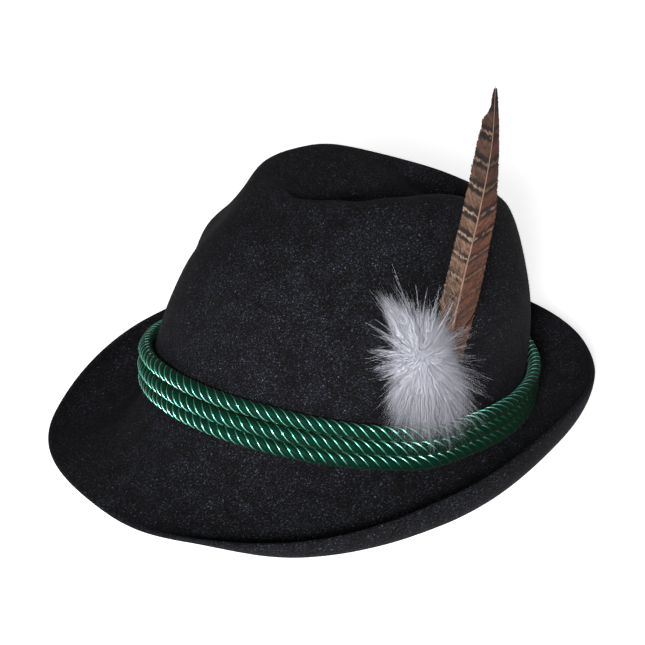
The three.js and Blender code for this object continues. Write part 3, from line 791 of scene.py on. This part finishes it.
def vane_mesh():
    rng = np.random.default_rng(21)
    all_points, all_faces, all_marks, all_tones = [], [], [], []
    first = 0
    for side in (-1, 1):
        paths, marks, tones = barb_set(side, rng)
        direction = unit(np.gradient(paths, axis=1))
        face = unit(np.cross(direction, vane_across))
        face = unit(face + rng.normal(0, 0.04, (len(paths), 1, 3)))
        across = unit(np.cross(direction, face))
        width = BARB_WIDTH * np.linspace(1, 0.75, BARB_STEPS)[None] * np.ones((len(paths), 1))
        points, faces = strips(paths, across, width)
        all_points.append(points)
        all_faces.append(faces + first)
        all_marks.append(np.repeat(marks[:, :, None], 2, axis=2).reshape(-1, 3))
        all_tones.append(np.repeat(tones, BARB_STEPS * 2))
        first += len(points)
    return [np.concatenate(part) for part in (all_points, all_faces, all_marks, all_tones)]


def add_tones(piece, tones):
    """Gives every fibre a tone of its own, from 0 to 1, for its material."""
    tone = piece.data.attributes.new("fibre_tone", "FLOAT", "POINT")
    tone.data.foreach_set("value", tones.astype(np.float32))


def add_marks(piece, marks):
    """Keeps each point's bar number, and its places across and along the feather in millimetres."""
    place = piece.data.attributes.new("feather_place", "FLOAT_VECTOR", "POINT")
    place.data.foreach_set("vector", marks.astype(np.float32).ravel())


points, faces, marks, tones = vane_mesh()
feather_vane = make_piece("feather_vane", to_rest(points), faces)
add_marks(feather_vane, marks)
add_tones(feather_vane, tones)
print("vane:", len(faces), "faces")

# %% [markdown]
# The feather is a hen pheasant's: grey-tan on the leading side and rust brown on the other. Dark brown
# bars with a cream line between them cross it every centimetre and break up into spots lower down.
# Because the bars are drawn from where each barb leaves the shaft, they slope with the barbs, as they
# do on the real feather, where the colour is laid down barb by barb.

# %% Material: pheasant feather
def pheasant_vane():
    material, tree = new_material("pheasant_vane")
    mark = add_node(tree, "ShaderNodeAttribute", attribute_name="feather_place").outputs["Vector"]
    tone = add_node(tree, "ShaderNodeAttribute", attribute_name="fibre_tone").outputs["Fac"]
    place = add_node(tree, "ShaderNodeSeparateXYZ", {0: mark})
    bar_number, across, along = place.outputs["X"], place.outputs["Y"], place.outputs["Z"]
    # Noises live in millimetres on the feather, and are drawn out along the barbs.
    flat = add_node(tree, "ShaderNodeCombineXYZ", {"X": across, "Y": along})
    drawn_out = add_node(tree, "ShaderNodeMapping", {"Vector": flat.outputs[0], "Scale": (0.35, 1, 1)})
    warp = add_node(tree, "ShaderNodeTexNoise", {
        "Vector": flat.outputs[0], "Scale": 0.45, "Detail": 3.0, "Roughness": 0.65})
    bend = add_node(tree, "ShaderNodeMath", {
        0: warp.outputs[0], 1: 0.32, 2: bar_number}, operation="MULTIPLY_ADD")
    jitter = add_node(tree, "ShaderNodeMath", {
        0: tone, 1: 0.06, 2: bend.outputs[0]}, operation="MULTIPLY_ADD")
    shifted = add_node(tree, "ShaderNodeMath", {0: jitter.outputs[0], 1: 0.31}, operation="ADD")
    cycle = add_node(tree, "ShaderNodeMath", {0: shifted.outputs[0]}, operation="FRACT")
    front = add_node(tree, "ShaderNodeValToRGB", {"Fac": cycle.outputs[0]}, stops=[
        (0.00, "#70594C"), (0.22, "#7A6457"), (0.27, "#2B1B14"), (0.43, "#190E0A"),
        (0.46, "#A08E80"), (0.53, "#A08E80"), (0.56, "#190E0A"), (0.72, "#2B1B14"),
        (0.78, "#6A5346")])
    back = add_node(tree, "ShaderNodeValToRGB", {"Fac": cycle.outputs[0]}, stops=[
        (0.00, "#5C3A2B"), (0.24, "#5C3A2B"), (0.29, "#2A1812"), (0.43, "#1C0F0B"),
        (0.46, "#745A4B"), (0.53, "#745A4B"), (0.56, "#1C0F0B"), (0.70, "#2A1812"),
        (0.77, "#563526")])
    side = add_node(tree, "ShaderNodeMath", {0: across, 1: 0.0}, operation="GREATER_THAN")
    barred = add_node(tree, "ShaderNodeMix", {
        0: side.outputs[0], 6: front.outputs[0], 7: back.outputs[0]}, data_type="RGBA")
    speckle = add_node(tree, "ShaderNodeTexNoise", {
        "Vector": drawn_out.outputs[0], "Scale": 1.1, "Detail": 3.0, "Roughness": 0.75})
    spots = add_node(tree, "ShaderNodeValToRGB", {"Fac": speckle.outputs[0]}, stops=[
        (0.38, "#20140F"), (0.46, "#5C4A3E"), (0.58, "#786355"), (0.72, "#94806F")])
    rust = add_node(tree, "ShaderNodeValToRGB", {"Fac": speckle.outputs[0]}, stops=[
        (0.36, "#23130E"), (0.46, "#44281C"), (0.62, "#563423"), (0.78, "#775442")])
    plain = add_node(tree, "ShaderNodeMix", {
        0: side.outputs[0], 6: spots.outputs[0], 7: rust.outputs[0]}, data_type="RGBA")
    # The bars are full in the upper half and give way to spots below.
    fade = add_node(tree, "ShaderNodeMapRange", {
        "Value": along, "From Min": 86.0, "From Max": 108.0, "To Min": 0.35, "To Max": 0.95})
    mixed = add_node(tree, "ShaderNodeMix", {
        0: fade.outputs[0], 6: plain.outputs[2], 7: barred.outputs[2]}, data_type="RGBA")
    grain = add_node(tree, "ShaderNodeValToRGB", {"Fac": speckle.outputs[0]}, stops=[
        (0.36, "#8A817B"), (0.50, "#E8E4E0"), (0.70, "#FFFFFF")])
    grained = add_node(tree, "ShaderNodeMix", {
        0: 1.0, 6: mixed.outputs[2], 7: grain.outputs[0]}, data_type="RGBA", blend_type="MULTIPLY")
    # The feather grows darker towards its tip, which is nearly all brown.
    height = add_node(tree, "ShaderNodeMath", {0: along, 1: 190.0}, operation="DIVIDE")
    darker = add_node(tree, "ShaderNodeValToRGB", {"Fac": height.outputs[0]}, stops=[
        (0.60, "#F4F0EE"), (0.74, "#B3A7A2"), (0.875, "#A3948E"), (0.915, "#54423B")])
    tipped = add_node(tree, "ShaderNodeMix", {
        0: 1.0, 6: grained.outputs[2], 7: darker.outputs[0]}, data_type="RGBA", blend_type="MULTIPLY")
    shade = add_node(tree, "ShaderNodeValToRGB", {"Fac": tone}, stops=[
        (0.0, "#C2BBB6"), (0.5, "#E8E5E2"), (1.0, "#FFFFFF")])
    base = add_node(tree, "ShaderNodeMix", {
        0: 1.0, 6: tipped.outputs[2], 7: shade.outputs[0]}, data_type="RGBA", blend_type="MULTIPLY")
    finish_surface(tree, Base_Color=base.outputs[2], Roughness=0.7, Specular_IOR_Level=0.25)
    return material


feather_vane.data.materials.append(pheasant_vane())
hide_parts("tail_feather")
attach(feather_vane, "root")
print("vane dressed in", feather_vane.data.materials[0].name)

# %% [markdown]
# The shaft is keratin, like a fingernail: pale horn, smooth and a little glossy. It is thickest where
# it is tucked behind the cords and thins out to a hair at the tip, so a tube with a taper makes it.

# %% The feather's shaft
SHAFT_SIDES = 8


def tube(path, radii, sides):
    """A plain tube along a path with a radius at each of its points."""
    tangent = unit(np.gradient(path, axis=0))
    side = unit(np.cross(tangent, vane_across))
    top = np.cross(side, tangent)
    angle = np.arange(sides) * 2 * np.pi / sides
    wheel = top[:, None] * np.cos(angle)[:, None] + side[:, None] * np.sin(angle)[:, None]
    points = (path[:, None] + wheel * np.reshape(radii, (-1, 1, 1))).reshape(-1, 3)
    return points, grid_faces(len(path), sides)


def horn():
    material, tree = new_material("pale_horn_shaft")
    place = add_node(tree, "ShaderNodeTexCoord").outputs["Object"]
    streak = add_node(tree, "ShaderNodeTexNoise", {"Vector": place, "Scale": per_mm(3.0), "Detail": 2.0})
    base = add_node(tree, "ShaderNodeValToRGB", {"Fac": streak.outputs[0]}, stops=[
        (0.3, "#4A3023"), (0.7, "#6A4A37")])
    finish_surface(tree, Base_Color=base.outputs[0], Roughness=0.45, IOR=1.55)
    return material


shaft_radius = QUILL / 2 * (1 - 0.88 * np.linspace(0, 1, 400) ** 0.7)
points, faces = tube(shaft_line, shaft_radius, SHAFT_SIDES)
feather_shaft = make_piece("feather_shaft", to_rest(points), faces)
feather_shaft.data.materials.append(horn())
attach(feather_shaft, "root")
print("shaft:", len(faces), "faces, thinnest radius in mm", round(float(shaft_radius[-1]), 2))

# %% [markdown]
# The plume is marabou: soft white down. Each long barb carries hundreds of fine side hairs, and that
# is why it looks like a cloud with spiky tips. A hair system would do it too, but meshes can be kept
# and measured. Down lies on what is behind it and never grows through it, so this first helper finds
# the crown's wall at any angle and height, with the cords over it, and moves points out to it.

# %% A keep-out for the down
WALL_ANGLES = np.arange(20, 150, 2.0)
WALL_RINGS = np.linspace(0, 6, 80)
wall_grid = crown_point(WALL_RINGS[:, None], WALL_ANGLES[None])
cord_top = 3 * CORD_STEP + 2.0


def press_outward(points, clearance=0.8):
    """Moves points that would lie inside the crown or the cords out to just in front of them."""
    flat = points.reshape(-1, 3)
    angle = np.degrees(np.arctan2(flat[:, 0], -flat[:, 1]))
    column = np.clip((angle - WALL_ANGLES[0]) / 2.0, 0, len(WALL_ANGLES) - 1.001)
    left = column.astype(int)
    part = column - left
    radius = np.zeros(len(flat))
    for k in range(len(WALL_ANGLES) - 1):
        here = left == k
        for weight, j in ((1 - part, k), (part, k + 1)):
            wall = wall_grid[:, j]
            far = np.hypot(wall[:, 0], wall[:, 1])
            order = np.argsort(wall[:, 2])
            radius[here] += (weight * np.interp(flat[:, 2], wall[order, 2], far[order]))[here]
    foot = np.interp(angle, WALL_ANGLES, wall_grid[0, :, 2])
    over_cords = (CORD + 1.6 + quill_bulge(angle)) * smoothstep(cord_top + foot + 4 - flat[:, 2], 0, 4)
    needed = radius + clearance + over_cords
    actual = np.hypot(flat[:, 0], flat[:, 1])
    push = np.maximum(needed / np.maximum(actual, 1), 1)[:, None]
    pushed = np.concatenate([flat[:, :2] * push, flat[:, 2:]], axis=-1)
    return pushed.reshape(points.shape)


print("wall found at", wall_grid.shape[0], "heights and", wall_grid.shape[1], "angles")

# %% [markdown]
# Each lock is three long, nearly straight barbs that start inside the plume and meet in a point, the
# way down does when it has been handled. The table says, for each direction round the plume, how far
# its locks and the soft cloud between them reach and how many locks there are: a long tuft above and
# in front, and a skirt that hangs over the cords.

# %% Locks of down
plume_out = np.array([np.sin(np.radians(PLUME_FACES)), -np.cos(np.radians(PLUME_FACES)), 0])
plume_front = np.array([-np.cos(np.radians(PLUME_FACES)), -np.sin(np.radians(PLUME_FACES)), 0])
plume_up = np.array([0.0, 0.0, 1.0])
plume_middle = plume_out * (PLUME_OUT - 3) + plume_front * 2 + plume_up * (PLUME_FOOT + 41.5)
# turn 0 is straight up and 90 is towards the hat's front. spikes and puff say how far the longest
# barbs and the soft cloud reach that way in mm.
SPRAYS = table(
    "turn spread spikes puff locks",
    (5, 5, 36, 22, 16),
    (16, 5, 42, 22, 14),
    (28, 4, 43, 27, 14),
    (37, 4, 43, 39, 38),
    (51, 4, 36, 22, 14),
    (65, 5, 31, 16, 14),
    (78, 5, 29, 15, 14),
    (90, 5, 29, 15, 14),
    (102, 6, 29, 15, 14),
    (124, 8, 25, 15, 14),
    (139, 6, 27, 20, 12),
    (150, 6, 34, 30, 19),
    (165, 7, 39, 38, 21),
    (180, 7, 46, 45, 28),
    (195, 7, 49, 50, 33),
    (210, 7, 51, 52, 33),
    (222, 6, 46, 42, 21),
    (235, 6, 41, 32, 19),
    (245, 5, 40, 25, 16),
    (254, 5, 34, 21, 14),
    (283, 9, 30, 14, 12),
    (315, 9, 30, 17, 12),
    (345, 6, 37, 20, 16),
)
BARBS_IN_LOCK = 3
BARB_POINTS = 7


def lock_barbs(rng):
    """The paths of all barbs, lock by lock."""
    paths = []
    f = np.linspace(0, 1, BARB_POINTS)[None, :, None]
    for k in range(len(SPRAYS["turn"])):
        for _ in range(int(SPRAYS["locks"][k])):
            turn = np.radians(SPRAYS["turn"][k] + rng.normal(0, SPRAYS["spread"][k]))
            lift = rng.uniform(-0.10, 0.45)
            away = unit(plume_up * np.cos(turn) + plume_front * np.sin(turn) + plume_out * lift)
            reach = SPRAYS["spikes"][k] * rng.uniform(0.72, 1.04)
            start = plume_middle + away * 4 + rng.normal(0, 1.6, 3)
            curl = rng.normal(0, 0.035, 3) * reach
            count = (BARBS_IN_LOCK, 1, 3)
            fan = rng.normal(0, 0.032, count) * reach * np.sin(np.pi * f**0.8)
            point_spread = rng.normal(0, 0.012, count) * reach * f
            length = (reach - 4) * rng.uniform(0.72, 1.02, (BARBS_IN_LOCK, 1, 1))
            line = start + away * length * f + (curl * f**2)[0][None]
            paths.append(line + fan + point_spread)
    return press_outward(np.concatenate(paths))


print("locks of down:", int(SPRAYS["locks"].sum()), "of", BARBS_IN_LOCK, "barbs")

# %% [markdown]
# The fine side hairs are what makes down look soft. Real ones are a hundredth of a millimetre thick,
# so these are drawn thicker and fewer: single thin triangles that leave the barb at a flat angle,
# long near its root and short at its tip, so that every lock still ends in a point. White down is
# keratin full of air: it scatters nearly all light and has no gloss, and it looks greyish blue where
# it thins out over something dark.

# %% Side hairs and shading of the down
def side_hairs(paths, per_barb, length, rng):
    """Short fine hairs on both sides of each barb, as single narrow triangles."""
    count, steps = paths.shape[:2]
    at = rng.uniform(0.03, 0.97, (count, per_barb)) * (steps - 1)
    i = np.minimum(at.astype(int), steps - 2)
    f = (at - i)[..., None]
    row = np.arange(count)[:, None]
    root = paths[row, i] * (1 - f) + paths[row, i + 1] * f
    ahead = unit(paths[row, i + 1] - paths[row, i])
    aside = unit(np.cross(ahead, rng.normal(size=ahead.shape)))
    share = (at / (steps - 1))[..., None]
    reach = length * rng.uniform(0.5, 1.2, (count, per_barb, 1)) * (1 - 0.80 * share)
    end = root + reach * (ahead * 0.92 + aside * 0.39)
    across = unit(np.cross(end - root, rng.normal(size=ahead.shape))) * 0.032
    points = np.stack([root - across, root + across, end], axis=2).reshape(-1, 3)
    return points, np.arange(len(points)).reshape(-1, 3)


def add_down(name, points, faces, tones):
    """One piece of the plume. It is lit as one soft body, so its normals point outward from it."""
    piece = make_piece(name, to_rest(points), faces)
    outward = unit((points - plume_middle) * np.array([1.0, 1.0, 0.7]))
    normals = tip(unit(outward + plume_out * 0.55))
    piece.data.normals_split_custom_set_from_vertices(normals.tolist())
    add_tones(piece, tones)
    piece.data.materials.append(down_material)
    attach(piece, "root")
    print(name, len(faces), "triangles")
    return piece


def white_down():
    material, tree = new_material("white_marabou_down")
    tone = add_node(tree, "ShaderNodeAttribute", attribute_name="fibre_tone").outputs["Fac"]
    base = add_node(tree, "ShaderNodeValToRGB", {"Fac": tone}, stops=[
        (0.0, "#A2A3B0"), (0.5, "#CBCCD8"), (1.0, "#EDEDF5")])
    finish_surface(tree, Base_Color=base.outputs[0], Roughness=0.9, Specular_IOR_Level=0.1)
    return material


down_material = white_down()

# %% [markdown]
# The locks come first. Each barb is a ribbon that narrows to its tip, and each carries its own tone,
# so that neighbouring locks stand out from one another.

# %% The plume's locks
HAIRS_ON_BARB, SIDE_HAIR = 40, 2.8
LOCK_BARB_WIDTH = 0.11
plume_rng = np.random.default_rng(33)
lock_paths = lock_barbs(plume_rng)
barb_count = len(lock_paths)
barb_direction = unit(np.gradient(lock_paths, axis=1))
barb_across = unit(np.cross(barb_direction, plume_rng.normal(size=(barb_count, 1, 3))))
barb_width = LOCK_BARB_WIDTH * np.linspace(1, 0.3, BARB_POINTS)[None] * np.ones((barb_count, 1))
points, quads = strips(lock_paths, barb_across, barb_width)
hair_points, hair_faces = side_hairs(lock_paths, HAIRS_ON_BARB, SIDE_HAIR, plume_rng)
faces = np.concatenate([quads[:, [0, 1, 2]], quads[:, [0, 2, 3]], hair_faces + len(points)])
barb_tone = plume_rng.uniform(0.25, 1, barb_count)
tones = np.concatenate([np.repeat(barb_tone, BARB_POINTS * 2),
                        np.repeat(barb_tone, HAIRS_ON_BARB * 3) * 0.9])
plume_locks = add_down("plume_locks", np.concatenate([points, press_outward(hair_points)]),
                       faces, tones)
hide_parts("down_plume")
print("barbs in the locks:", barb_count)

# %% [markdown]
# Under the locks the plume is a dense puff of short down that lets nothing dark through. Its hairs all
# point straight away from the middle, and each ends at its own share of the cloud's outline, so that
# the cloud thins out evenly towards its edge instead of ending in a line.

# %% The puff of short down
PUFF_HAIRS = 195000
PUFF_OUT = 14
PUFF_HAIR_WIDTH = 0.07


def puff_mesh(rng):
    turn = rng.uniform(0, 360, PUFF_HAIRS * 4)
    outline = np.interp(turn, SPRAYS["turn"], SPRAYS["puff"], period=360)
    keep = np.flatnonzero(rng.random(len(turn)) < outline / 52)[:PUFF_HAIRS]
    turn, outline = np.radians(turn[keep])[:, None], outline[keep][:, None]
    lift = np.radians(rng.uniform(-15, 75, turn.shape))
    flat = plume_up * np.cos(turn) + plume_front * np.sin(turn)
    away = flat * np.cos(lift) + plume_out * np.sin(lift)
    reach = 1 / np.sqrt((np.cos(lift) / outline) ** 2 + (np.sin(lift) / PUFF_OUT) ** 2)
    root_way = unit(away + rng.normal(0, 0.16, away.shape))
    root = plume_middle + root_way * reach * rng.uniform(0.05, 0.55, turn.shape)
    end = plume_middle + away * reach * (0.35 + 0.95 * rng.beta(1.7, 2.7, turn.shape))
    end = end + rng.normal(0, 0.6, end.shape)
    across = unit(np.cross(end - root, rng.normal(size=root.shape))) * PUFF_HAIR_WIDTH / 2
    points = np.stack([root - across, root + across, end], axis=1)
    faces = np.arange(len(keep) * 3).reshape(-1, 3)
    return press_outward(points).reshape(-1, 3), faces


points, faces = puff_mesh(plume_rng)
add_down("plume_puff", points, faces, np.repeat(plume_rng.uniform(0.2, 1, len(faces)), 3))
print("puff reaches from", SPRAYS["puff"].min(), "to", SPRAYS["puff"].max(), "mm")

# %% [markdown]
# The hat stands on a plain white floor under soft studio light. The main light is a panel close to
# the camera's own direction and a little lower, so that what faces the camera is brightest, the mint
# thread flashes, and the crease and the top of the crown stay dark. Two weak wide panels above and
# behind, and the dim walls of the room, fill in the rest.

# %% Floor and lights
FLOOR_SIZE = 8.0
WALL_LIGHT = 0.11


def white_paper():
    material, tree = new_material("white_paper_floor")
    place = add_node(tree, "ShaderNodeTexCoord").outputs["Object"]
    grain = add_node(tree, "ShaderNodeTexNoise", {"Vector": place, "Scale": per_mm(400.0)})
    base = add_node(tree, "ShaderNodeValToRGB", {"Fac": grain.outputs[0]}, stops=[
        (0.3, "#F4F4F4"), (0.7, "#F8F8F8")])
    finish_surface(tree, Base_Color=base.outputs[0], Roughness=1.0, Specular_IOR_Level=0.0,
                   Emission_Color=colour("#FFFFFF"), Emission_Strength=0.62)
    return material


floor_corners = np.array([[-1, -1, 0], [1, -1, 0], [1, 1, 0], [-1, 1, 0]]) * FLOOR_SIZE * 500
floor = make_piece("paper_floor", floor_corners, np.array([[0, 1, 2, 3]]), smooth=False)
floor.data.materials.append(white_paper())


def direction(azimuth, elevation):
    """From the hat outwards: azimuth 0 is in front of it and 90 at the wearer's left."""
    a, e = np.radians(azimuth), np.radians(elevation)
    return np.array([np.sin(a) * np.cos(e), -np.cos(a) * np.cos(e), np.sin(e)])


def aim(thing, place, target, roll=0.0):
    """Puts a lamp or camera at a place and points it at a target."""
    thing.location = place
    look = (Vector(target) - Vector(place)).to_track_quat("-Z", "Y")
    thing.rotation_mode = "QUATERNION"
    thing.rotation_quaternion = look @ Quaternion((0, 0, 1), np.radians(roll))


def panel(name, azimuth, elevation, distance, size, watts):
    lamp = bpy.data.lights.new(name, "AREA")
    lamp.size = size
    lamp.energy = watts
    holder = bpy.data.objects.new(name, lamp)
    bpy.context.scene.collection.objects.link(holder)
    aim(holder, tuple(direction(azimuth, elevation) * distance), (0, 0, 0.06))


panel("panel_by_camera", 43, 23, 1.5, 0.25, 40)
panel("panel_above", 60, 75, 1.8, 1.2, 1.5)
panel("panel_behind", 215, 35, 1.8, 1.2, 6)

world = bpy.data.worlds.new("white_studio")
world.use_nodes = True
studio = world.node_tree
studio.nodes.clear()
# Only what is seen past the floor is full white. As a light the walls are dim.
seen = add_node(studio, "ShaderNodeLightPath").outputs["Is Camera Ray"]
strength = add_node(studio, "ShaderNodeMapRange", {"Value": seen, "To Min": WALL_LIGHT, "To Max": 1.0})
walls = add_node(studio, "ShaderNodeBackground", {
    "Color": colour("#FFFFFF"), "Strength": strength.outputs[0]})
add_node(studio, "ShaderNodeOutputWorld", {"Surface": walls.outputs[0]})
bpy.context.scene.world = world
bpy.context.scene.view_settings.view_transform = "Standard"

# %% [markdown]
# The camera looks down on the hat's front left corner from about a metre away, with a short telephoto
# lens, as for a catalogue picture.

# %% Camera
CAMERA_AZIMUTH, CAMERA_ELEVATION, CAMERA_ROLL = 50.58, 26.69, -0.25
CAMERA_DISTANCE = 0.95
CAMERA_TARGET = np.array([-0.0190, 0.0089, 0.0462])
camera = bpy.data.objects.new("camera", bpy.data.cameras.new("camera"))
bpy.context.scene.collection.objects.link(camera)
camera.data.lens = 102.7
camera.data.sensor_width = 36
camera_place = CAMERA_TARGET + direction(CAMERA_AZIMUTH, CAMERA_ELEVATION) * CAMERA_DISTANCE
aim(camera, tuple(camera_place), tuple(CAMERA_TARGET), CAMERA_ROLL)
bpy.context.scene.camera = camera
print("camera at", np.round(camera_place, 3))
